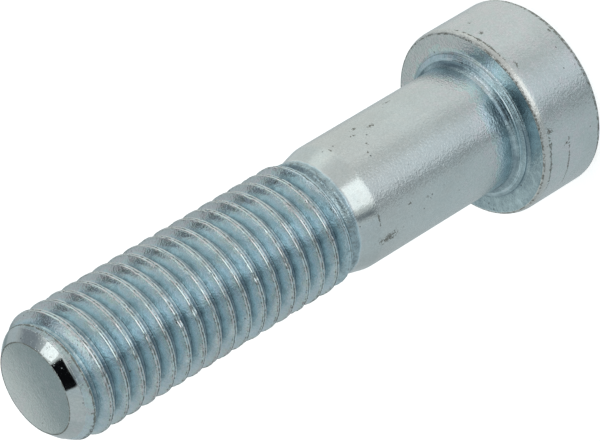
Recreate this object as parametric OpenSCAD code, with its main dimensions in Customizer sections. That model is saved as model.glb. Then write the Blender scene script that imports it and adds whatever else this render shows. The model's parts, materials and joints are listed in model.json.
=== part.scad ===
// Cheese head bolt, M14 x 60, with a part-threaded shank and a hexagon socket.
// The bolt stands on its head: the origin is the centre of the head's end face, and +Z
// runs along the axis to the threaded tip. Lengths are in millimetres.

/* [Head] */
// Diameter of the head
head_d = 20.85; // [18:0.05:24]
// Height of the head, from its end face to its bearing face
head_h = 8.5; // [7.5:0.1:12]
// Radius of the rounding round the head's end face
head_edge_r = 0.7; // [0.2:0.1:1.2]
// Width of the sloped edge round the bearing face
bearing_edge_w = 0.2; // [0.05:0.05:0.6]
// Height of the sloped edge round the bearing face
bearing_edge_h = 0.65; // [0.2:0.05:1]

/* [Collar under the head] */
// Diameter of the raised collar round the shank's root
collar_d = 16.1; // [15.6:0.1:17.4]
// Height of the collar above the bearing face
collar_h = 0.45; // [0.2:0.05:1]
// Radius of the fillet between the collar and the shank
fillet_r = 0.6; // [0.2:0.05:0.8]

/* [Socket] */
// Width of the hexagon socket across its flats
socket_af = 12; // [8:0.5:12]
// Depth of the socket's flats
socket_depth = 4.8; // [3:0.1:5]
// Depth of the chamfer round the socket's mouth, at the middle of its flats
socket_chamfer = 0.55; // [0.3:0.05:0.7]
// Depth of the drilled cone below the socket's flats
socket_cone_h = 1.1; // [0.5:0.1:1.8]

/* [Shank] */
// Length of the bolt under its head
length = 60; // [50:1:80]
// Diameter of the plain shank
shank_d = 13.85; // [13.7:0.05:14.4]
// Length of the plain shank, from the bearing face to the edge of its taper
shank_length = 20.1; // [16:0.1:24]
// Length of the taper from the plain shank down to the neck
taper_length = 2.4; // [1:0.1:3]
// Diameter of the neck, where the thread ends
neck_d = 12.7; // [12.4:0.05:13.2]
// Length of the bare neck between the taper and the thread's run-out
neck_length = 0.4; // [0.2:0.1:2]

/* [Thread] */
// Diameter over the thread's crests
thread_d = 13.82; // [13.6:0.02:14]
// Diameter at the thread's roots
root_d = 11.55; // [11.2:0.05:12]
// Distance from one turn to the next
pitch = 2; // [1.5:0.25:2.5]
// Width of the flat on the thread's crests
crest_w = 0.28; // [0.15:0.01:0.4]
// Width of the flat at the thread's roots
root_w = 0.42; // [0.2:0.01:0.6]
// Length over which the thread fades into the neck
run_out = 2.4; // [1:0.1:5]
// Angle round the axis where the middle of a crest meets the plane of the tip
thread_turn = 180; // [0:1:360]
// Diameter of the flat tip
tip_d = 9.9; // [8:0.1:11]
// Angle of the tip's chamfer from the axis
tip_angle = 45; // [30:1:60]

/* [Hidden] */

// Steps of a round surface, and of each turn of the thread
round_fn = 96;
steps_per_turn = 36;

// Heights along the axis
bearing_z = head_h;
collar_z = bearing_z + collar_h;
tip_z = head_h + length;
shank_z = bearing_z + shank_length;
taper_z = shank_z + taper_length;
neck_z = taper_z + neck_length;

// The threaded core runs this far past both of its ends, where other solids trim or cover it
overrun = pitch;
// Thickness of the plain neck round the thread's faded end, and that end's radius
neck_cover = 0.02;
core_r = neck_d / 2 - neck_cover;
// Solids that cut or join reach this far past the faces that they meet
reach = 1;

steel = "#b9c4c9";

// What lies between a right-angled corner at the origin and a quarter circle in it, towards
// +X and +Y. Taken off a convex edge it rounds it, and added in a concave one it fills it.
module corner_round(r) {
    difference() {
        translate([-reach, -reach])
            square(r + reach);
        translate([r, r])
            circle(r, $fn = round_fn);
    }
}

// Half section of the head, with its two edges
module head_section() {
    head_r = head_d / 2;
    difference() {
        polygon([
            [0, 0],
            [head_r, 0],
            [head_r, bearing_z - bearing_edge_h],
            [head_r - bearing_edge_w, bearing_z],
            [0, bearing_z]
        ]);
        translate([head_r, 0])
            mirror([1, 0])
                corner_round(head_edge_r);
    }
}

// Half section of the collar, the shank, its taper and the bare neck
module shank_section() {
    shank_r = shank_d / 2;
    neck_r = neck_d / 2;
    translate([0, bearing_z - reach])
        square([collar_d / 2, collar_h + reach]);
    polygon([
        [0, bearing_z - reach],
        [shank_r, bearing_z - reach],
        [shank_r, shank_z],
        [neck_r, taper_z],
        [neck_r, neck_z],
        [0, neck_z]
    ]);
    translate([shank_r, collar_z])
        corner_round(fillet_r);
}

// The hexagon socket, open at the head's end face. Its mouth has a cone from the hexagon's
// corners in to the middle of its flats, and its floor a shallow drilled cone.
module socket() {
    flat_r = socket_af / 2;
    corner_r = flat_r / cos(30);
    mouth_slope = (corner_r - flat_r) / socket_chamfer;
    mouth_r = corner_r + reach * mouth_slope;
    translate([0, 0, -reach])
        cylinder(r = corner_r, h = socket_depth + reach, $fn = 6);
    translate([0, 0, -reach])
        cylinder(r1 = mouth_r, r2 = 0, h = mouth_r / mouth_slope, $fn = round_fn);
    translate([0, 0, socket_depth])
        cylinder(r1 = flat_r, r2 = 0, h = socket_cone_h, $fn = round_fn);
}

// Share of the thread's depth that is left at a height: all of it beyond the run-out
function depth_left(z) = max(0, min(1, (z - neck_z) / run_out));

// Radius at a height of a corner that has the given radius on the full thread
function faded(r, z) = core_r + (r - core_r) * depth_left(z);

// A right-handed thread with its core, swept corner by corner along the helix
module threaded_core() {
    flank_w = (pitch - crest_w - root_w) / 2;
    // One turn's section: each corner's rise along the axis and its radius
    corners = [
        [0, thread_d / 2],
        [crest_w, thread_d / 2],
        [crest_w + flank_w, root_d / 2],
        [crest_w + flank_w + root_w, root_d / 2]
    ];
    count = len(corners);
    low_z = neck_z - overrun;
    turns = ceil((tip_z - low_z) / pitch) + 1;
    top_step = turns * steps_per_turn;
    last_step = top_step + steps_per_turn;
    low_angle = thread_turn + 360 * (low_z + crest_w / 2 - tip_z) / pitch;

    function corner_point(step, corner) =
        let (
            angle = low_angle + 360 * step / steps_per_turn,
            z = low_z + pitch * step / steps_per_turn + corner[0],
            r = faded(corner[1], z)
        )
        [r * cos(angle), r * sin(angle), z];

    // Index of a corner; the one past the last is the first corner of the next turn
    function at(step, i) = i < count ? step * count + i : (step + steps_per_turn) * count;

    low_centre = (last_step + 1) * count;
    top_centre = low_centre + 1;
    points = concat(
        [for (step = [0 : last_step], corner = corners) corner_point(step, corner)],
        [[0, 0, low_z + pitch / 2], [0, 0, low_z + pitch * (turns + 1 / 2)]]
    );
    sides = [
        for (step = [0 : top_step - 1], i = [0 : count - 1])
            each [
                [at(step, i), at(step, i + 1), at(step + 1, i + 1)],
                [at(step, i), at(step + 1, i + 1), at(step + 1, i)]
            ]
    ];
    // Each end is a fan over one turn, closed by the turn's own section
    low_end = concat(
        [for (step = [0 : steps_per_turn - 1]) [low_centre, at(step, 0), at(step + 1, 0)]],
        [for (i = [0 : count - 1]) [low_centre, at(0, i + 1), at(0, i)]]
    );
    top_end = concat(
        [for (step = [top_step : last_step - 1]) [top_centre, at(step + 1, 0), at(step, 0)]],
        [for (i = [0 : count - 1]) [top_centre, at(top_step, i), at(top_step, i + 1)]]
    );
    polyhedron(points, concat(sides, low_end, top_end));
}

// Everything inside the tip's chamfer and behind its flat
module tip_envelope() {
    outer_r = thread_d / 2 + reach;
    chamfer_h = (outer_r - tip_d / 2) / tan(tip_angle);
    rotate_extrude($fn = round_fn)
        polygon([
            [0, neck_z - 2 * overrun],
            [outer_r, neck_z - 2 * overrun],
            [outer_r, tip_z - chamfer_h],
            [tip_d / 2, tip_z],
            [0, tip_z]
        ]);
}

// The whole bolt, one solid
module bolt() {
    color(steel)
        difference() {
            union() {
                rotate_extrude($fn = round_fn) {
                    head_section();
                    shank_section();
                }
                intersection() {
                    threaded_core();
                    tip_envelope();
                }
            }
            socket();
        }
}

bolt();
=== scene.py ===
"""Looks of a zinc-plated cheese head bolt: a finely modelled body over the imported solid."""

import json
import math

import bpy
import bmesh
import numpy as np
from mathutils import Matrix, Vector, noise


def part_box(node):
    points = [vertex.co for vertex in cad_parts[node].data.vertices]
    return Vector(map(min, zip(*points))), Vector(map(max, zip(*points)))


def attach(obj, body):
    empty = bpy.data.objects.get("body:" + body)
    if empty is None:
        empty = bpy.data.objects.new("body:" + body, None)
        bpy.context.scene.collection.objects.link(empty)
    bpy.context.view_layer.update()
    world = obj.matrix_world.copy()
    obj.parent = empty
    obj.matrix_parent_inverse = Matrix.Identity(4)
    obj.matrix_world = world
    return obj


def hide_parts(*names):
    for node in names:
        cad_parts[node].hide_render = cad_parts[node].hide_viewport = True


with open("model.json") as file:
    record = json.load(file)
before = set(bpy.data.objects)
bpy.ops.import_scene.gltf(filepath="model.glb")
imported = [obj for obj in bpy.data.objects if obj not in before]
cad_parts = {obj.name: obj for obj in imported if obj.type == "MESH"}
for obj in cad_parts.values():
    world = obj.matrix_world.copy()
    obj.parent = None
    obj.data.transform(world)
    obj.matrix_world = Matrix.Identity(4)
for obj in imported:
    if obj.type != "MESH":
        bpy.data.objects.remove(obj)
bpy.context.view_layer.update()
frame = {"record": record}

# Driving sizes in millimetres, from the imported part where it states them
MM = 0.001
NODE = "bolt"
high_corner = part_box(NODE)[1]
mounts = {mount["name"]: mount for mount in frame["record"]["mounts"]}

head_r = high_corner.x / MM
tip_z = high_corner.z / MM
bearing_z = mounts["bearing_face"]["pos_m"][2] / MM
shank_r = mounts["shank"]["dims"]["r_mm"]
crest_r = mounts["thread"]["dims"]["r_mm"]
socket_depth = mounts["hex_socket"]["dims"]["length_mm"]

# Head
head_edge_r = 0.7
bearing_edge_w = 0.2
bearing_edge_h = 0.65
bearing_edge_r = 0.14
collar_r = 8.05
collar_tilt = math.radians(30)
collar_edge_r = 0.12
collar_foot_r = 0.3
collar_rim_r = 0.08
fillet_r = 0.6
socket_flat_r = 6.0
socket_chamfer = 0.55
socket_cone_h = 1.1

# Shank, from the bearing face towards the tip
shank_length = 20.1
taper_length = 2.4
neck_length = 0.4
neck_r = 6.35
run_out = 2.4
blend_h = 0.8
neck_blend_h = 0.4
root_gloss_h = 2.8
root_rows = 6
blend_rows = 8

# Thread
pitch = 2.0
root_r = 5.775
root_half_w = 0.2
root_round = 0.06
crest_half_w = 0.22
crest_round = 0.06
shoulder_half_w = 0.21
shoulder_drop = 0.026
lip_half_w = 0.11
seam_half_w = 0.055
seam_depth = 0.055
seam_edge_share = 0.7
crest_edge_share = 0.6
thread_turn = math.pi
spare_turns = 2
first_turn_shift = 0.22
first_turn_reach = 1.2 * pitch

# Wear of the thread: noises as scale and seed, the level where a nick starts, and depths
wave_noise = (0.9, 3.7)
nick_noise = (1.3, 11.2)
rough_noise = (2.2, 23.5)
seam_level = 0.75
seam_wave = 0.6
nick_level = 0.25
nick_depth = 0.28
crest_wave = 0.015
rough_depth = 0.05

# Tip: a dished end face, and a chamfer at 45 degrees that turns steeper towards the crests
tip_r = 4.95
tip_dish = 0.13
tip_edge_r = 0.1
tip_ring_h = 0.3
chamfer_h = 1.0
chamfer_slope = 0.56
chamfer_soft = 0.008
chamfer_band_h = 0.1
rim_soft = 0.012
rim_seam = 0.3
rim_seam_w = 0.22
fine_depth = 3.2

# Sizes that follow
socket_corner_r = socket_flat_r / math.cos(math.pi / 6)
shank_z = bearing_z + shank_length
taper_z = shank_z + taper_length
neck_z = taper_z + neck_length
collar_low_r = collar_r - collar_edge_r * (1 - math.sin(collar_tilt))
collar_low_z = bearing_z + collar_foot_r + collar_edge_r * math.cos(collar_tilt)
collar_high_r = shank_r + fillet_r + collar_rim_r * math.sin(collar_tilt)
collar_high_z = collar_low_z + (collar_low_r - collar_high_r) * math.tan(collar_tilt)
collar_rim_z = collar_high_z - collar_rim_r * math.cos(collar_tilt)
fillet_z = collar_rim_z + collar_rim_r
tip_ring_z = tip_z - tip_ring_h

# Columns round the axis: a multiple of six, so that the socket's corners meet columns
COLUMNS = 180
theta = np.linspace(0, 2 * math.pi, COLUMNS + 1)

# Angle round the axis from the side that is uppermost when the bolt lies down
side_deg = np.degrees(np.arccos(np.cos(theta)))


def by_side(*stops):
    """A value for each column, from pairs of an angle round the axis and the value there."""
    angles, values = zip(*stops)
    return np.interp(side_deg, angles, values)


# Finishes of the surface: gloss from satin to polished, and film from pale zinc to blue, whose values
# also carry painted light and shade
LAYERS = ("gloss", "film", "grime")
SATIN = (0.4, 0.33)
PALE = (0.4, 0.12)
SOCKET = (0.3, 0.4)
EDGE = (0.34, 0.02)
# Painted reflections and shade: the film of the bearing face, collar, fillet and shank root changes
# round the axis, lighter in bands of painted reflection and darker in bands of painted shade; the
# fillet's dark navy film is painted shade in the crease under the head
BEARING = (
    by_side((40, 0.4), (65, 0.66)),
    by_side((38, 0.36), (50, 0.6), (66, 0.74), (90, 0.74), (118, 1.05), (130, 0.95),
            (140, 1.08), (180, 0.97)),
)
COLLAR_WALL = (
    0.5,
    by_side((42, 0.62), (75, 0.75), (90, 1.05), (125, 1.2), (150, 1.08), (180, 1.0)),
)
COLLAR = (
    0.45,
    by_side((50, 0.8), (75, 0.8), (92, 1.05), (140, 0.95), (165, 1.0)),
)
COLLAR_RIM = (
    0.8,
    by_side((60, 0.85), (78, 0.67), (98, 0.67), (112, 0.85)),
)
FILLET = (
    0.3,
    by_side((0, 1.0), (15, 1.3), (40, 1.25), (58, 0.65), (70, 0.65), (86, 1.25), (100, 1.25),
            (110, 0.98), (128, 0.98), (142, 1.2), (180, 1.1)),
)
ROOT = (
    0.62,
    by_side((0, 0.6), (18, 1.05), (42, 1.05), (54, 0.72), (73, 0.72), (84, 1.3), (98, 1.3),
            (108, 1.0), (180, 0.95)),
)
TAPER = (0.78, 0.25)
NECK = (0.35, 1.02)
CHAMFER = (1.0, 0.3)
CHAMFER_RIM = (0.25, 0.6)
TIP_FACE = (0.8, 0.3)

# Grime where it is alike over a whole edge, from none to a closed dark line
FAINT = 0.3
SLIGHT = 0.35
LIGHT = 0.5
FIRM = 0.6
STRONG = 0.8
CLOSED = 1.2

# Finishes of the thread, with their grime, and the film at shares of the way down a flank; the film
# darkening down each flank into the navy root is painted shade of the groove
# The seam's dark film and heavy grime are painted shade between the crest's two lips
SEAM = (0.4, 1.3, 0.75)
SEAM_EDGE = (0.5, 0.8, 0.5)
LIP = (0.85, 0.5, 0.25)
SHOULDER = (0.8, 0.5, 0.3)
CREST_EDGE = (0.6, 0.5, 0.5)
FLANK_GLOSS = 0.6
FLANK_GRIME = 0.2
FLANK_FILM_AND_SHADE = ((0.15, 0.62), (0.5, 0.74), (0.85, 1.0))
FLANK_FOOT = (0.38, 1.24, 0.2)
THREAD_ROOT = (0.3, 1.4, 0.3)

# How they change: darker crests on the lower side, painted light on the upper roots and flanks,
# less painted shade in the grooves near the tip, a dull and dark run-out, and a dark line round the
# chamfer
LOWER_CREST_DARKER = by_side((90, 0.0), (112, 0.4))
UPPER_ROOT_PAINTED_LIGHT = by_side((80, 0.3), (104, 0.0))
UPPER_FLANK_PAINTED_LIGHT = by_side((18, 0.28), (36, 0.0))
ROOT_SHADE_FROM = 0.8
FLANK_LIGHT_FADE = 4
TIP_SHADE_EASING = 0.25
TIP_SHADE_FROM = 0.65
RUN_OUT_DULL = 1.5
RUN_OUT_GRIME = 0.42
RIM_GRIME = by_side((20, 1.3), (45, 0.95), (60, 0.95), (90, 1.3))
RIM_START = chamfer_h + by_side((125, 0.1), (145, 0.45))
CHAMFER_RIM_GRIME = 0.35


class Rows:
    """Rows of points round the axis, from the socket to the tip, with the finish of each."""

    def __init__(self):
        self.radius = []
        self.height = []
        self.layers = {name: [] for name in LAYERS}

    def add(self, radius, height, finish, grime=0.0):
        ones = np.ones_like(theta)
        self.radius.append(radius * ones)
        self.height.append(height * ones)
        for name, value in zip(LAYERS, (*finish, grime)):
            self.layers[name].append(value * ones)

    def add_arc(self, centre, radius, start_deg, end_deg, steps, finish, grime=0.0):
        for angle in np.radians(np.linspace(start_deg, end_deg, steps + 1)):
            across = centre[0] + radius * math.cos(angle)
            along = centre[1] + radius * math.sin(angle)
            self.add(across, along, finish, grime)

    def add_line(self, start, end, shares, finish, grime=0.0):
        for share in shares:
            across = start[0] + share * (end[0] - start[0])
            along = start[1] + share * (end[1] - start[1])
            self.add(across, along, finish, grime)


def blend(first, second, share):
    """A finish between two others."""
    return tuple(a + (b - a) * share for a, b in zip(first, second))


def add_socket(rows):
    """The hexagon socket, from the tip of its drilled cone out to its mouth."""
    hex_r = socket_flat_r / np.cos(np.mod(theta, math.pi / 3) - math.pi / 6)
    mouth_z = (socket_corner_r - hex_r) / (socket_corner_r - socket_flat_r) * socket_chamfer
    cone_tip = (0, socket_depth + socket_cone_h)
    rows.add_line(cone_tip, (socket_flat_r, socket_depth), (0, 0.3, 0.65, 1), SOCKET)
    rows.add(hex_r, socket_depth, SOCKET, STRONG)
    rows.add_line((hex_r, mouth_z), (hex_r, socket_depth), (0.97, 0.6, 0.25, 0.02), SOCKET)
    rows.add(hex_r, mouth_z, EDGE, LIGHT)
    rows.add(socket_corner_r, 0, EDGE, LIGHT)


def add_head(rows):
    """The head's end face, rounding, side and bearing face."""
    round_r = head_r - head_edge_r
    round_centre = (round_r, head_edge_r)
    rows.add_line((socket_corner_r, 0), (round_r, 0), (0.02, 0.3, 0.6, 0.9), SATIN)
    rows.add_arc(round_centre, head_edge_r, -90, -54, 3, SATIN)
    rows.add_arc(round_centre, head_edge_r, -42, -6, 3, SATIN, STRONG)

    side_z = bearing_z - bearing_edge_h
    side_start = (head_r, head_edge_r)
    rows.add_line(side_start, (head_r, side_z), (0.02, 0.2, 0.4, 0.6, 0.8, 0.93), SATIN)
    rows.add(head_r, side_z - bearing_edge_r, SATIN, SLIGHT)

    edge_r = head_r - bearing_edge_w
    face_r = edge_r - bearing_edge_r
    rows.add_line((head_r, side_z), (edge_r, bearing_z), (0.15, 0.3, 0.65), EDGE, FAINT)
    rows.add_arc((face_r, bearing_z - bearing_edge_r), bearing_edge_r, 15, 90, 4, EDGE, FIRM)
    foot_r = collar_r + collar_foot_r
    for share in (0.08, 0.3, 0.6, 0.95):
        finish = blend(BEARING, COLLAR_WALL, share * share)
        rows.add_line((face_r, bearing_z), (foot_r, bearing_z), (share,), finish)


def add_collar(rows):
    """The collar round the shank's root: its foot, edge, sloped face and rim."""
    tilt_deg = 90 - math.degrees(collar_tilt)
    foot_z = bearing_z + collar_foot_r
    low = (collar_low_r, collar_low_z)
    high = (collar_high_r, collar_high_z)
    rows.add_arc((collar_r + collar_foot_r, foot_z), collar_foot_r, 270, 180, 6, COLLAR_WALL)
    rows.add_arc((collar_r - collar_edge_r, foot_z), collar_edge_r, 15, tilt_deg, 3, COLLAR)
    rows.add_line(low, high, (0.2, 0.6), COLLAR)
    rows.add_line(low, high, (0.75, 0.95), COLLAR_RIM)
    rows.add_arc((shank_r + fillet_r, collar_rim_z), collar_rim_r, tilt_deg, 90, 3, COLLAR_RIM)


def add_shank(rows):
    """The fillet over the collar, the plain shank, its taper and the neck."""
    foot_z = fillet_z + fillet_r
    gloss_z = foot_z + root_gloss_h
    rows.add_arc((shank_r + fillet_r, foot_z), fillet_r, 262, 200, 8, FILLET)
    for share in np.linspace(0, 1, root_rows):
        rows.add(shank_r, foot_z + root_gloss_h * share, blend(ROOT, SATIN, share))
    for share in np.linspace(0.1, 1, blend_rows):
        height = gloss_z + share * (shank_z - blend_h - gloss_z)
        rows.add(shank_r, height, blend(SATIN, PALE, share))

    slope = (shank_r - neck_r) / taper_length
    for share in np.linspace(0, 1, blend_rows):
        drop = slope * blend_h * share * share / 2
        rows.add(shank_r - drop, shank_z + blend_h * (share - 0.5), blend(PALE, TAPER, share))
    rows.add_line((shank_r, shank_z), (neck_r, taper_z), (0.3, 0.55, 0.8), TAPER)
    for share in np.linspace(0, 1, blend_rows):
        drop = slope * neck_blend_h * (1 - share) * (1 - share) / 2
        height = taper_z + neck_blend_h * (share - 0.5)
        rows.add(neck_r + drop, height, blend(TAPER, NECK, share), FAINT * share)


def thread_section():
    """One pitch of the thread, from the seam in one crest to the next.

    Each corner has its rise, radius, share in the seam, share in the crest, gloss, film and grime;
    the dark film of the lower flank, root and seam, and the seam's grime, are painted shade.
    """
    foot = pitch / 2 - root_half_w
    foot_r = root_r + root_round
    flank_r = crest_r - crest_round
    half = [
        (0.0, crest_r, 1.0, 1.0, *SEAM),
        (seam_half_w, crest_r, seam_edge_share, 1.0, *SEAM_EDGE),
        (lip_half_w, crest_r, 0.0, 1.0, *LIP),
        (shoulder_half_w, crest_r - shoulder_drop, 0.0, 1.0, *SHOULDER),
        (crest_half_w, flank_r, 0.0, crest_edge_share, *CREST_EDGE),
    ]
    for share, film in FLANK_FILM_AND_SHADE:
        rise = crest_half_w + share * (foot - crest_half_w)
        radius = flank_r + share * (foot_r - flank_r)
        half.append((rise, radius, 0.0, 0.0, FLANK_GLOSS, film, FLANK_GRIME))
    half += [
        (foot, foot_r, 0.0, 0.0, *FLANK_FOOT),
        (pitch / 2, root_r, 0.0, 0.0, *THREAD_ROOT),
    ]
    other_half = [(pitch - rise, *rest) for rise, *rest in half[-2:0:-1]]
    return np.array(half + other_half)


def envelope(height):
    """Radius of the chamfer round the tip at a height."""
    depth = tip_z - height
    steep = tip_r + chamfer_h * (1 - chamfer_slope) + chamfer_slope * depth
    plain = tip_r + depth
    return (plain + steep - np.sqrt((plain - steep) ** 2 + chamfer_soft)) / 2


def noise_field(radius, height, scale, seed):
    """Smooth noise from -1 to 1 at points round the axis."""
    x = radius * np.cos(theta)
    y = radius * np.sin(theta)
    points = np.stack([x, y, height], -1) * scale + seed
    flat = [noise.noise(Vector(point)) for point in points.reshape(-1, 3)]
    return np.array(flat).reshape(radius.shape)


def thread_rise(section, reach):
    """Rises of the thread's rows from its start, with three times as many rows near the tip."""
    turns = math.ceil((tip_z - neck_z) / pitch) + spare_turns
    rise = np.concatenate([section[:, 0] + pitch * turn for turn in range(turns)])
    start_z = tip_z - pitch * (turns + thread_turn / (2 * math.pi))
    fine = rise[rise > tip_z - start_z - reach]
    thirds = [fine[:-1] + share * np.diff(fine) for share in (1 / 3, 2 / 3)]
    return start_z, np.sort(np.concatenate([rise, *thirds]))


def add_thread(rows):
    """The thread along its helix, from its run-out at the neck to the chamfer of the tip."""
    section = thread_section()
    start_z, rise = thread_rise(section, pitch + fine_depth)
    base_r, seam, crest, gloss, film, grime = (
        np.interp(rise, section[:, 0], values, period=pitch)[:, None] for values in section.T[1:])
    height = start_z + rise[:, None] + pitch * theta[None, :] / (2 * math.pi)
    near_tip = np.clip(1 - (tip_z - height - pitch) / first_turn_reach, 0, 1)
    height = height + first_turn_shift * near_tip * near_tip * (3 - 2 * near_tip)
    full_r = base_r + 0 * height

    # Wear: an uneven seam along the crests, small nicks in them, and a rough run-out
    unevenness = noise_field(full_r, height, *wave_noise)
    nicks = np.clip(noise_field(full_r, height, *nick_noise) - nick_level, 0, 1)
    roughness = noise_field(full_r, height, *rough_noise)
    full_r = full_r - seam * seam_depth * (seam_level + seam_wave * unevenness)
    full_r = full_r + crest * (crest_wave * unevenness - nick_depth * nicks)

    # Crests darker on the lower side, and painted light: a lighter film in the roots and flanks of
    # the upper side
    grime = grime * (1 + crest * LOWER_CREST_DARKER)
    film = film - UPPER_ROOT_PAINTED_LIGHT * np.clip(film - ROOT_SHADE_FROM, 0, 1)
    film = film - UPPER_FLANK_PAINTED_LIGHT * np.clip(FLANK_LIGHT_FADE * (1 - film), 0, 1)

    # The run-out into the neck
    faded = np.clip(1 - (height - neck_z) / run_out, 0, 1)
    left = 1 - faded * faded
    radius = neck_r + (full_r - neck_r) * left + rough_depth * roughness * faded * left
    dulled = np.clip(RUN_OUT_DULL * faded, 0, 1)
    gloss, film = blend((gloss, film), NECK, dulled)
    grime = np.maximum(grime * left, RUN_OUT_GRIME * dulled)

    # The chamfer, with a dark line where it meets the flanks
    depth = tip_z - height
    cone_r = envelope(height)
    gap = cone_r - radius + rough_depth * roughness
    outer = np.clip((depth - chamfer_h) / chamfer_band_h, 0, 1)
    on_cone = (gap <= 0) | (depth < chamfer_h)
    rounded = cone_r + (radius - cone_r - np.sqrt((radius - cone_r) ** 2 + rim_soft)) / 2
    radius = np.where(depth < chamfer_h, cone_r, rounded)
    # Painted shade eased near the tip: the dark film of the grooves is lighter within the first turns
    shallow = np.clip(fine_depth - depth, 0, 1)
    film = film - TIP_SHADE_EASING * shallow * np.clip(film - TIP_SHADE_FROM, 0, 1)
    cone_gloss, cone_film = blend(CHAMFER, CHAMFER_RIM, outer)
    gloss = np.where(on_cone, cone_gloss, gloss)
    film = np.where(on_cone, cone_film, film)
    rim = RIM_GRIME * (depth > RIM_START) * np.exp(-((gap + rim_seam) / rim_seam_w) ** 2)
    grime = np.maximum(np.where(on_cone, CHAMFER_RIM_GRIME * outer, grime), rim)

    # The ends, where the neck and the tip's ring take over
    above = height >= tip_ring_z
    radius = np.where(above, envelope(tip_ring_z), radius)
    radius = np.where(height <= neck_z, neck_r, radius)
    grime = np.where(above, 0, grime)
    height = np.clip(height, neck_z, tip_ring_z)
    for i in range(len(rise)):
        rows.add(radius[i], height[i], (gloss[i], film[i]), grime[i])


def add_tip(rows):
    """The rounded edge of the tip and its dished end face."""
    face_r = tip_r - tip_edge_r * math.tan(math.pi / 8)
    centre = (face_r, tip_z - tip_edge_r)
    rows.add_arc(centre, tip_edge_r, 45, 45, 0, CHAMFER)
    rows.add_arc(centre, tip_edge_r, 55, 90, 3, TIP_FACE, CLOSED)
    for share in (0.97, 0.9, 0.75, 0.5, 0.25, 0):
        rows.add(face_r * share, tip_z - tip_dish * (1 - share * share), TIP_FACE)


# Distances in metres below which points are merged and slivers removed, and the angle from which
# an edge stays sharp
MERGE_DISTANCE = 1e-7
SLIVER_DISTANCE = 1e-8
SHARP_ANGLE = math.radians(38)


def build_body():
    """The bolt's mesh, with its finish at each point."""
    rows = Rows()
    add_socket(rows)
    add_head(rows)
    add_collar(rows)
    add_shank(rows)
    add_thread(rows)
    add_tip(rows)
    radius = np.array(rows.radius)
    height = np.array(rows.height)
    points = np.stack([radius * np.cos(theta), radius * np.sin(theta), height], -1) * MM

    builder = bmesh.new()
    layers = {name: builder.verts.layers.float.new(name) for name in LAYERS}
    grid = []
    for i, row_points in enumerate(points):
        line = [builder.verts.new(point) for point in row_points]
        for name, layer in layers.items():
            for vertex, value in zip(line, rows.layers[name][i]):
                vertex[layer] = value
        grid.append(line)
    for low, high in zip(grid, grid[1:]):
        for j in range(COLUMNS):
            face = builder.faces.new((low[j], low[j + 1], high[j + 1], high[j]))
            face.smooth = True
    bmesh.ops.remove_doubles(builder, verts=builder.verts, dist=MERGE_DISTANCE)
    bmesh.ops.dissolve_degenerate(builder, dist=SLIVER_DISTANCE, edges=builder.edges)
    bmesh.ops.recalc_face_normals(builder, faces=builder.faces)
    mesh = bpy.data.meshes.new("bolt_body")
    builder.to_mesh(mesh)
    builder.free()
    mesh.set_sharp_from_angle(angle=SHARP_ANGLE)
    return mesh


body = bpy.data.objects.new("bolt_body", build_body())
bpy.context.scene.collection.objects.link(body)
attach(body, "root")
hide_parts(NODE)


class Graph:
    """A shader tree with short calls for the nodes used here."""

    def __init__(self, tree):
        self.tree = tree

    def add(self, kind, **settings):
        node = self.tree.nodes.new(kind)
        for name, value in settings.items():
            setattr(node, name, value)
        return node

    def feed(self, socket, value):
        if isinstance(value, bpy.types.NodeSocket):
            self.tree.links.new(value, socket)
        else:
            socket.default_value = value

    def math(self, operation, first, second=0.0, third=0.0):
        node = self.add("ShaderNodeMath", operation=operation)
        for socket, value in zip(node.inputs, (first, second, third)):
            self.feed(socket, value)
        return node.outputs[0]

    def vector(self, operation, vector, second, output):
        node = self.add("ShaderNodeVectorMath", operation=operation)
        self.feed(node.inputs[0], vector)
        node.inputs[1].default_value = second
        return node.outputs[output]

    def dot(self, vector, direction):
        return self.vector("DOT_PRODUCT", vector, direction, "Value")

    def stretch(self, vector, factors):
        return self.vector("MULTIPLY", vector, factors, "Vector")

    def length(self, vector):
        node = self.add("ShaderNodeVectorMath", operation="LENGTH")
        self.feed(node.inputs[0], vector)
        return node.outputs["Value"]

    def layer(self, name):
        return self.add("ShaderNodeAttribute", attribute_name=name).outputs["Fac"]

    def step(self, value, low, high, first=0.0, last=1.0):
        node = self.add("ShaderNodeMapRange", interpolation_type="SMOOTHSTEP")
        for socket, number in zip(node.inputs, (value, low, high, first, last)):
            self.feed(socket, number)
        return node.outputs["Result"]

    def mix(self, factor, first, second, blend="MIX"):
        node = self.add("ShaderNodeMix", data_type="RGBA", blend_type=blend)
        sockets = [socket for socket in node.inputs if socket.enabled]
        for socket, value in zip(sockets, (factor, first, second)):
            self.feed(socket, value)
        return node.outputs[2]

    def noise(self, vector, scale, detail=2.0, roughness=0.5):
        node = self.add("ShaderNodeTexNoise")
        self.feed(node.inputs["Vector"], vector)
        node.inputs["Scale"].default_value = scale
        node.inputs["Detail"].default_value = detail
        node.inputs["Roughness"].default_value = roughness
        return node.outputs["Fac"]

    def cells(self, vector, scale):
        node = self.add("ShaderNodeTexVoronoi")
        self.feed(node.inputs["Vector"], vector)
        node.inputs["Scale"].default_value = scale
        return node.outputs["Distance"], node.outputs["Color"]

    def ramp(self, factor, stops):
        node = self.add("ShaderNodeValToRGB")
        self.feed(node.inputs["Fac"], factor)
        elements = node.color_ramp.elements
        while len(elements) < len(stops):
            elements.new(0.5)
        for element, (position, colour) in zip(elements, stops):
            element.position = position
            element.color = opaque(colour)
        return node.outputs["Color"]


def opaque(colour):
    """A colour with its alpha."""
    return (*colour, 1)


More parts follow.
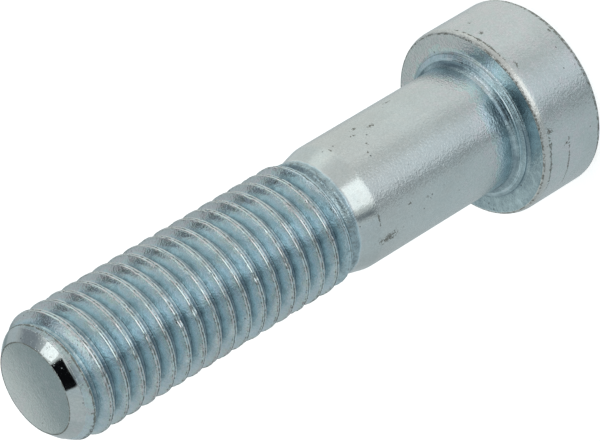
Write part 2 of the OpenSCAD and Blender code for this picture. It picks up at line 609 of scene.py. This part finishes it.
# The plate's tint at each level of film, up to the most that a surface has. The dark blue and navy
# top levels are painted shade, for the thread's roots and seams, the fillet and the darker bands
FILM_AND_SHADE_TOP = 1.4
FILM_AND_SHADE_TINTS = [
    (0.0, (0.67, 0.69, 0.675)),
    (0.3, (0.62, 0.685, 0.685)),
    (0.45, (0.68, 0.68, 0.70)),
    (0.55, (0.62, 0.76, 0.745)),
    (0.67, (0.65, 0.74, 0.80)),
    (0.8, (0.575, 0.735, 0.79)),
    (0.95, (0.46, 0.59, 0.63)),
    (FILM_AND_SHADE_TOP, (0.14, 0.21, 0.26)),
]
PIT_COLOUR = (0.10, 0.11, 0.11)
# Grime's colour, also used for the painted shade in the thread's seams
GRIME_AND_SHADE_COLOUR = (0.14, 0.135, 0.11)
PIT_COVER = 0.8
GRIME_AND_SHADE_COVER = 0.75

# Noises of the plate: scale per millimetre, detail and, where it isn't a half, roughness. Streaks
# are drawn out along the axis.
CLOUDS = (0.17, 3.0, 0.55)
SHIMMER = (1.0, 5.0, 0.7)
GRAIN = (4.5, 3.0, 0.7)
STREAKS = (1.0, 3.0, 0.6)
STREAK_STRETCH = (1.3, 1.3, 0.07)
CROWD = (0.35, 2.0)
RAGGED = (3.0, 4.0, 0.75)
BROAD_RELIEF = (1.1, 2.0)
FINE_RELIEF = (4.5, 2.0)

# How far clouds and shimmer move the film, and the thickness at which it would be even
CLOUD_SHIFT = 0.8
SHIMMER_SHIFT = 1.8
EVEN_FILM = 1.5

# Steps: two levels of a value, and what it becomes at each, none and all if not given. The last
# pair is how far grain moves the edge of a mark: a factor and an offset.
GRAIN_SHADE = (0.3, 0.7, 0.92, 1.05)
STREAK_SHADE = (0.3, 0.7, 0.97, 1.0)
CLOUD_SHADE = (0.35, 0.65, 0.96, 1.03)
CROWD_STEP = (0.42, 0.7, 0.2, 1.0)
GRIME_PATCHES = (0.36, 0.62, 0.3, 1.6)
GRIME_EDGE = (0.45, 0.85)
MARK_EDGE = (0.7, 1.1, 1.0, 0.0)
MARK_TATTERS = (5.0, -2.3)

# Specks: cells per millimetre, size as a share of a cell, and the level of chance below which a
# cell has one. Chance is a mix of a cell's random colour.
PITS = (1.7, 0.22, 0.12)
SMALL_PITS = (4.0, 0.45, 0.17)
DIMPLES = (5.5, 0.42, 0.5)
CHANCE_WEIGHTS = (0.4, 0.35, 0.25)

# Roughness of dull plate, how far gloss, shimmer and grime change it, and the plate's relief,
# which is coarser where the plate is dull
DULL_ROUGHNESS = 0.36
GLOSS_ROUGHNESS = -0.29
SHIMMER_ROUGHNESS = 0.2
GRIME_ROUGHNESS = 0.25
RELIEF_MM = 0.052
BROAD_SHARE = 0.6
PIT_DEPTH = 1.2
DIMPLE_DEPTH = 0.12
COARSE_DULL = 1.88
COARSE_FALL = -2.2
COARSE_LEAST = 0.03
COARSE_MOST = 0.75

# Marks that the plate got in use: radius, angle round the axis, height, and half the extent round
# the axis and along it
shank_marks = [
    (shank_r, -42.5, 22.7, 0.24, 0.45),
    (shank_r, -34.5, 24.1, 0.2, 0.4),
    (shank_r, -42, 25.1, 0.16, 0.3),
    (shank_r, -57.5, 25.0, 0.16, 0.16),
    (shank_r, -64.5, 25.75, 0.12, 0.16),
    (shank_r, -24, 18.25, 0.16, 0.5),
    (shank_r, -140.5, 27.6, 0.5, 1.3),
    (shank_r, -118, 28.6, 0.75, 0.1),
    (shank_r, -43, 28.45, 0.4, 0.1),
    (shank_r, -121, 24.35, 0.15, 0.35),
    (shank_r, -124.5, 22.0, 0.12, 0.2),
]
head_marks = [
    (head_r, -31, 5.98, 0.2, 0.2),
    (head_r, -145, 4.95, 3.4, 0.12),
    (head_r, -129.5, 5.35, 0.2, 0.28),
    (head_r, -138, 7.66, 3.6, 0.15),
    (head_r, -125, 7.7, 0.28, 0.3),
    (head_r, -117, 7.4, 0.32, 0.45),
    (head_r, -44.5, 6.85, 0.25, 0.3),
    (head_r, -74.5, 7.15, 0.4, 0.22),
    (head_r, -50, 7.85, 3.2, 0.12),
    (head_r, -67, 0.97, 0.3, 0.15),
]


def specks(graph, place, scale, size, share, crowd):
    """Small round spots: a share of the cells of a pattern, more where the crowd value is high."""
    distance, cell = graph.cells(place, scale)
    limit = graph.math("MULTIPLY", crowd, share)
    kept = graph.math("LESS_THAN", graph.dot(cell, CHANCE_WEIGHTS), limit)
    spot = graph.step(distance, size / 2, size, 1.0, 0.0)
    return graph.math("MULTIPLY", spot, kept)


def mark(graph, place, ragged, radius, angle_deg, height, half_round, half_along):
    """A ragged dark mark on the surface."""
    angle = math.radians(angle_deg)
    mapping = graph.add("ShaderNodeMapping", vector_type="TEXTURE")
    graph.feed(mapping.inputs["Vector"], place)
    middle = (radius * math.cos(angle), radius * math.sin(angle), height)
    mapping.inputs["Location"].default_value = middle
    mapping.inputs["Rotation"].default_value = (0, 0, angle)
    mapping.inputs["Scale"].default_value = (head_r, half_round, half_along)
    reach = graph.math("ADD", graph.length(mapping.outputs["Vector"]), ragged)
    return graph.step(reach, *MARK_EDGE)


def film_and_shading_colour(graph, place, shimmer, grain):
    """Colour of clean plate: a film that is bluer in places, with painted light and shade from its
    levels, clouds, fine grain and streaks.
    """
    clouds = graph.noise(place, *CLOUDS)
    film_and_shading_level = graph.layer("film")
    uneven = graph.math("MULTIPLY", film_and_shading_level, graph.math("SUBTRACT", EVEN_FILM, film_and_shading_level))
    change = graph.math("MULTIPLY_ADD", clouds, CLOUD_SHIFT, -(CLOUD_SHIFT + SHIMMER_SHIFT) / 2)
    change = graph.math("MULTIPLY_ADD", shimmer, SHIMMER_SHIFT, change)
    film = graph.math("MULTIPLY_ADD", change, uneven, film_and_shading_level)
    stops = [(level / FILM_AND_SHADE_TOP, tint) for level, tint in FILM_AND_SHADE_TINTS]
    tint = graph.ramp(graph.math("MULTIPLY", film, 1 / FILM_AND_SHADE_TOP), stops)

    streaks = graph.noise(graph.stretch(place, STREAK_STRETCH), *STREAKS)
    shade = graph.step(grain, *GRAIN_SHADE)
    shade = graph.math("MULTIPLY", shade, graph.step(streaks, *STREAK_SHADE))
    shade = graph.math("MULTIPLY", shade, graph.step(clouds, *CLOUD_SHADE))
    grey = graph.add("ShaderNodeCombineColor")
    for socket in grey.inputs:
        graph.feed(socket, shade)
    return graph.mix(1.0, tint, grey.outputs["Color"], "MULTIPLY")


def grime_and_shade_cover(graph, place, grain):
    """Where grime gathers along edges, painted shade in the thread's seams, and the single marks."""
    tatters = graph.math("MULTIPLY_ADD", grain, *MARK_TATTERS)
    patches = graph.step(graph.noise(place, *RAGGED), *GRIME_PATCHES)
    grime = graph.step(graph.math("MULTIPLY", graph.layer("grime"), patches), *GRIME_EDGE)
    for values in shank_marks + head_marks:
        grime = graph.math("MAXIMUM", grime, mark(graph, place, tatters, *values))
    return grime


def plate_relief(graph, place, gloss, pits, crowd):
    """Height of the plate's relief, with its pits and dimples."""
    fine = graph.noise(place, *FINE_RELIEF)
    relief = graph.math("MULTIPLY_ADD", graph.noise(place, *BROAD_RELIEF), BROAD_SHARE, fine)
    relief = graph.math("MULTIPLY_ADD", pits, -PIT_DEPTH, relief)
    coarse = graph.math("MULTIPLY_ADD", gloss, COARSE_FALL, COARSE_DULL)
    coarse = graph.math("MINIMUM", graph.math("MAXIMUM", coarse, COARSE_LEAST), COARSE_MOST)
    relief = graph.math("MULTIPLY", relief, coarse)
    dimples = specks(graph, place, *DIMPLES, crowd)
    return graph.math("MULTIPLY_ADD", dimples, -DIMPLE_DEPTH, relief)


def zinc_material():
    """Zinc plate: a cloudy film, fine grain, pits in loose crowds, marks, grime and uneven gloss,
    with painted light and shade in its film and grime.
    """
    material = bpy.data.materials.new("zinc_plate")
    material.use_nodes = True
    graph = Graph(material.node_tree)
    shader = material.node_tree.nodes["Principled BSDF"]
    place = graph.stretch(graph.add("ShaderNodeTexCoord").outputs["Object"], (1 / MM, 1 / MM, 1 / MM))
    gloss = graph.layer("gloss")
    shimmer = graph.noise(place, *SHIMMER)
    grain = graph.noise(place, *GRAIN)
    crowd = graph.step(graph.noise(place, *CROWD), *CROWD_STEP)
    large = specks(graph, place, *PITS, crowd)
    pits = graph.math("MAXIMUM", large, specks(graph, place, *SMALL_PITS, crowd))
    grime = grime_and_shade_cover(graph, place, grain)

    colour = film_and_shading_colour(graph, place, shimmer, grain)
    colour = graph.mix(graph.math("MULTIPLY", pits, PIT_COVER), colour, opaque(PIT_COLOUR))
    # Grime, which also paints the shade in the thread's seams
    colour = graph.mix(graph.math("MULTIPLY", grime, GRIME_AND_SHADE_COVER), colour, opaque(GRIME_AND_SHADE_COLOUR))
    graph.feed(shader.inputs["Base Color"], colour)
    shader.inputs["Metallic"].default_value = 1

    sheen = graph.math("MULTIPLY_ADD", shimmer, SHIMMER_ROUGHNESS, -SHIMMER_ROUGHNESS / 2)
    roughness = graph.math("MULTIPLY_ADD", gloss, GLOSS_ROUGHNESS, DULL_ROUGHNESS)
    roughness = graph.math("ADD", roughness, sheen)
    roughness = graph.math("MULTIPLY_ADD", grime, GRIME_ROUGHNESS, roughness)
    graph.feed(shader.inputs["Roughness"], roughness)

    bump = graph.add("ShaderNodeBump")
    bump.inputs["Strength"].default_value = 1
    bump.inputs["Distance"].default_value = RELIEF_MM * MM
    graph.feed(bump.inputs["Height"], plate_relief(graph, place, gloss, pits, crowd))
    graph.feed(shader.inputs["Normal"], bump.outputs["Normal"])
    return material


body.data.materials.append(zinc_material())

# Camera: its place in millimetres, and its axes. It looks along +Y and down, and is rolled so that
# the bolt lies across the picture.
eye = Vector((0.64, -356.37, 269.89)) * MM
camera_pitch = math.radians(33.6462)
camera_roll = math.radians(-121.1607)
back = Vector((0, -math.cos(camera_pitch), math.sin(camera_pitch)))
level_right = Vector((1, 0, 0))
level_up = back.cross(level_right)
right = level_right * math.cos(camera_roll) + level_up * math.sin(camera_roll)
up = level_up * math.cos(camera_roll) - level_right * math.sin(camera_roll)

camera_data = bpy.data.cameras.new("camera")
camera_data.sensor_width = 36
camera_data.lens = 258
camera_data.clip_start = 0.01
camera = bpy.data.objects.new("camera", camera_data)
camera.matrix_world = Matrix.Translation(eye) @ Matrix((right, up, back)).transposed().to_4x4()
bpy.context.scene.collection.objects.link(camera)
bpy.context.scene.camera = camera

# Studio: a place in it is an azimuth, from the front towards the right, and an elevation over
# a table that the bolt would lie on, tilted from the camera's own upright
TABLE_TILT = math.radians(37.9)
studio_up = up * math.cos(TABLE_TILT) + back * math.sin(TABLE_TILT)
studio_front = back * math.cos(TABLE_TILT) - up * math.sin(TABLE_TILT)
studio_right = right


def studio_axes(azimuth_deg, elevation_deg):
    """Direction, sideways axis and upright axis of a place in the studio."""
    azimuth = math.radians(azimuth_deg)
    elevation = math.radians(elevation_deg)
    level = studio_right * math.sin(azimuth) + studio_front * math.cos(azimuth)
    direction = level * math.cos(elevation) + studio_up * math.sin(elevation)
    sideways = studio_right * math.cos(azimuth) - studio_front * math.sin(azimuth)
    upright = studio_up * math.cos(elevation) - level * math.sin(elevation)
    return direction, sideways, upright


# World: its colour at elevations, from a pale table below to grey walls and a paler ceiling
sky_stops = [
    (-80, (0.48, 0.52, 0.53)),
    (-42, (0.50, 0.55, 0.57)),
    (-15, (0.50, 0.55, 0.57)),
    (-4, (0.52, 0.58, 0.61)),
    (4, (0.66, 0.70, 0.70)),
    (25, (0.71, 0.74, 0.73)),
    (42, (0.79, 0.81, 0.80)),
    (56, (0.83, 0.85, 0.84)),
    (74, (0.70, 0.70, 0.69)),
    (88, (0.68, 0.69, 0.68)),
]

# Panels of the studio, each laid over those before it: colour, azimuth and elevation of its
# middle, half its width and height in degrees, softness of its edges, and its roll if it has one
panels = [
    # A pale wall behind, and a bright ceiling over it
    ((0.755, 0.775, 0.755), 172, 4, 30, 20, 0.15),
    ((0.93, 0.955, 0.925), -156, 44, 14, 12, 0.12),
    # A cool wall at the right, the gap between the lights, and a dark strip over the table's edge
    ((0.71, 0.76, 0.80), 92, 33, 24, 18, 0.15),
    ((0.56, 0.585, 0.585), 117, 52, 8.5, 16, 0.06),
    ((0.21, 0.24, 0.26), 74, 10.5, 52, 6, 0.08),
    # The table: at the right, dark and then paler in front, pale at the left and dark behind that
    ((0.52, 0.58, 0.60), 100, -35, 30, 24, 0.15),
    ((0.33, 0.39, 0.41), -36, -34, 16, 26, 0.12),
    ((0.56, 0.60, 0.61), -4, -36, 14, 24, 0.12),
    ((0.66, 0.69, 0.68), -70, -38, 26, 16, 0.05),
    ((0.30, 0.36, 0.37), -126, -42, 24, 18, 0.05),
    # A bright band at the left, with dim walls and a dark slot over and beside it
    ((0.90, 0.98, 0.99), -62, 3, 26, 11, 0.08),
    ((0.37, 0.40, 0.41), -62, 66, 30, 9, 0.1),
    ((0.45, 0.48, 0.49), -112, 46, 14, 13, 0.12),
    ((0.27, 0.30, 0.33), -103, 21, 30, 16.5, 0.17),
    ((0.02, 0.025, 0.025), -87, 5.5, 7, 6, 0.06),
    # The dim front, and the dark place of the camera
    ((0.20, 0.23, 0.25), 2, 26, 14, 22, 0.08),
    ((0.004, 0.004, 0.005), -24, 15.5, 22, 11, 0.025, -49),
]


def ramp_place(elevation_deg):
    """Place of an elevation on the world's ramp."""
    return 0.5 + 0.5 * math.sin(math.radians(elevation_deg))


def inside(graph, ray, axis, half_deg, soft):
    """One where the ray lies within an angle of a panel's middle along an axis, and zero outside."""
    half = math.sin(math.radians(half_deg))
    across = graph.math("ABSOLUTE", graph.dot(ray, axis))
    return graph.step(across, half - soft, half + soft, 1.0, 0.0)


def lay_panel(graph, ray, sky, patch, azimuth_deg, elevation_deg, half_wide_deg, half_high_deg, soft,
              roll_deg=0):
    """The world's colour with a soft-edged rectangular panel laid over it."""
    direction, level, plumb = studio_axes(azimuth_deg, elevation_deg)
    roll = math.radians(roll_deg)
    sideways = level * math.cos(roll) + plumb * math.sin(roll)
    upright = plumb * math.cos(roll) - level * math.sin(roll)
    wide = inside(graph, ray, sideways, half_wide_deg, soft)
    high = inside(graph, ray, upright, half_high_deg, soft)
    ahead = graph.math("GREATER_THAN", graph.dot(ray, direction), 0.0)
    share = graph.math("MULTIPLY", graph.math("MULTIPLY", wide, high), ahead)
    return graph.mix(share, sky, opaque(patch))


def studio_world():
    """The studio as the world's colour."""
    world = bpy.data.worlds.new("studio")
    world.use_nodes = True
    graph = Graph(world.node_tree)
    ray = graph.add("ShaderNodeTexCoord").outputs["Generated"]
    upward = graph.math("MULTIPLY_ADD", graph.dot(ray, studio_up), 0.5, 0.5)
    sky = graph.ramp(upward, [(ramp_place(elevation), colour) for elevation, colour in sky_stops])
    for panel in panels:
        sky = lay_panel(graph, ray, sky, *panel)
    graph.feed(world.node_tree.nodes["Background"].inputs["Color"], sky)
    return world


bpy.context.scene.world = studio_world()

# Lamps
LAMP_DISTANCE = 0.7


def softbox(name, azimuth_deg, elevation_deg, half_wide_deg, half_high_deg, radiance):
    """A rectangular lamp that fills the given angles, seen from the middle of the bolt."""
    direction, sideways, upright = studio_axes(azimuth_deg, elevation_deg)
    data = bpy.data.lights.new(name, "AREA")
    data.shape = "RECTANGLE"
    data.size = 2 * LAMP_DISTANCE * math.tan(math.radians(half_wide_deg))
    data.size_y = 2 * LAMP_DISTANCE * math.tan(math.radians(half_high_deg))
    data.energy = radiance * math.pi * data.size * data.size_y
    lamp = bpy.data.objects.new(name, data)
    bpy.context.scene.collection.objects.link(lamp)
    middle = Vector((0, 0, tip_z / 2 * MM))
    axes = Matrix((sideways, upright, direction)).transposed()
    lamp.matrix_world = Matrix.Translation(middle + direction * LAMP_DISTANCE) @ axes.to_4x4()
    lamp.visible_camera = False


softbox("softbox_right", 52, 46, 17, 21, 0.52)
softbox("softbox_left", -57, 44, 12, 12, 0.66)

# Floor: pale and matt, with the object's shadow
FLOOR_HALF = 1.5
FLOOR_PALE = 0.9
FLOOR_GLOW = 0.66


def floor_material():
    """A matt pale floor that glows a little where it is seen."""
    material = bpy.data.materials.new("floor")
    material.use_nodes = True
    graph = Graph(material.node_tree)
    shader = material.node_tree.nodes["Principled BSDF"]
    shader.inputs["Base Color"].default_value = (FLOOR_PALE, FLOOR_PALE, FLOOR_PALE, 1)
    shader.inputs["Roughness"].default_value = 1
    shader.inputs["Specular IOR Level"].default_value = 0
    shader.inputs["Emission Color"].default_value = (1, 1, 1, 1)
    light_path = graph.add("ShaderNodeLightPath").outputs
    seen = graph.math("MAXIMUM", light_path["Is Camera Ray"], light_path["Is Glossy Ray"])
    seen = graph.math("MAXIMUM", seen, light_path["Is Transmission Ray"])
    graph.feed(shader.inputs["Emission Strength"], graph.math("MULTIPLY", seen, FLOOR_GLOW))
    return material


floor_corners = [(x * FLOOR_HALF, y * FLOOR_HALF, 0) for x, y in ((-1, -1), (1, -1), (1, 1), (-1, 1))]
floor_mesh = bpy.data.meshes.new("floor")
floor_mesh.from_pydata(floor_corners, [], [(0, 1, 2, 3)])
floor_mesh.materials.append(floor_material())
floor = bpy.data.objects.new("floor", floor_mesh)
bpy.context.scene.collection.objects.link(floor)
floor.visible_glossy = False
floor.visible_shadow = False
bpy.context.scene.view_settings.view_transform = "Standard"
